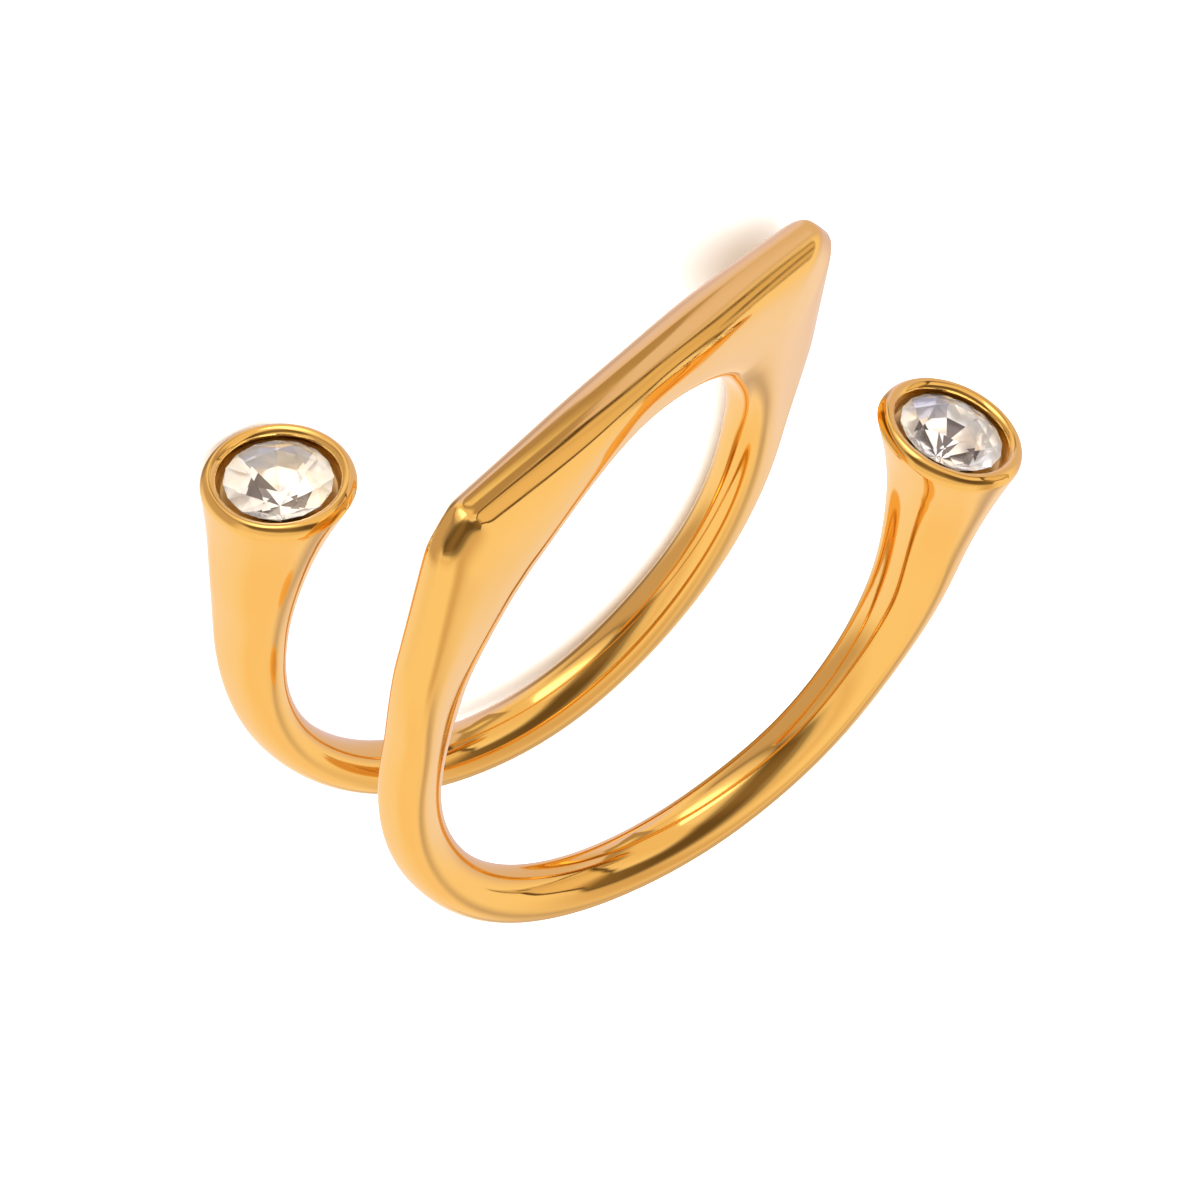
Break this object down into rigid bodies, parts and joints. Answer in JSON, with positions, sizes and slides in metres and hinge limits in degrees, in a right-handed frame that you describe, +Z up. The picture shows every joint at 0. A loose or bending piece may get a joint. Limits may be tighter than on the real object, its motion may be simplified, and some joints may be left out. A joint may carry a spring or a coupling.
{
  "type": "wrap ring",
  "caption": "Gold coloured wrap ring: one cast wire with a slanted raised bar on top and a flared cup with a clear cut stone at each free end.",
  "frame": {"origin": "middle of the box round the ring, on the surface that it rests on", "axes": "+Z up with the ring lying on its side, +Y from the finger's centre line towards the raised bar, +X along the bar's longer reach"},
  "size_m": [0.0272, 0.0218, 0.0113],
  "materials": {
    "gold": "polished gold coloured plating",
    "crystal": "clear cut crystal with a foiled back"
  },
  "bodies": {
    "root": {"band": "gold", "left_stone": "crystal", "right_stone": "crystal"}
  },
  "joints": []
}
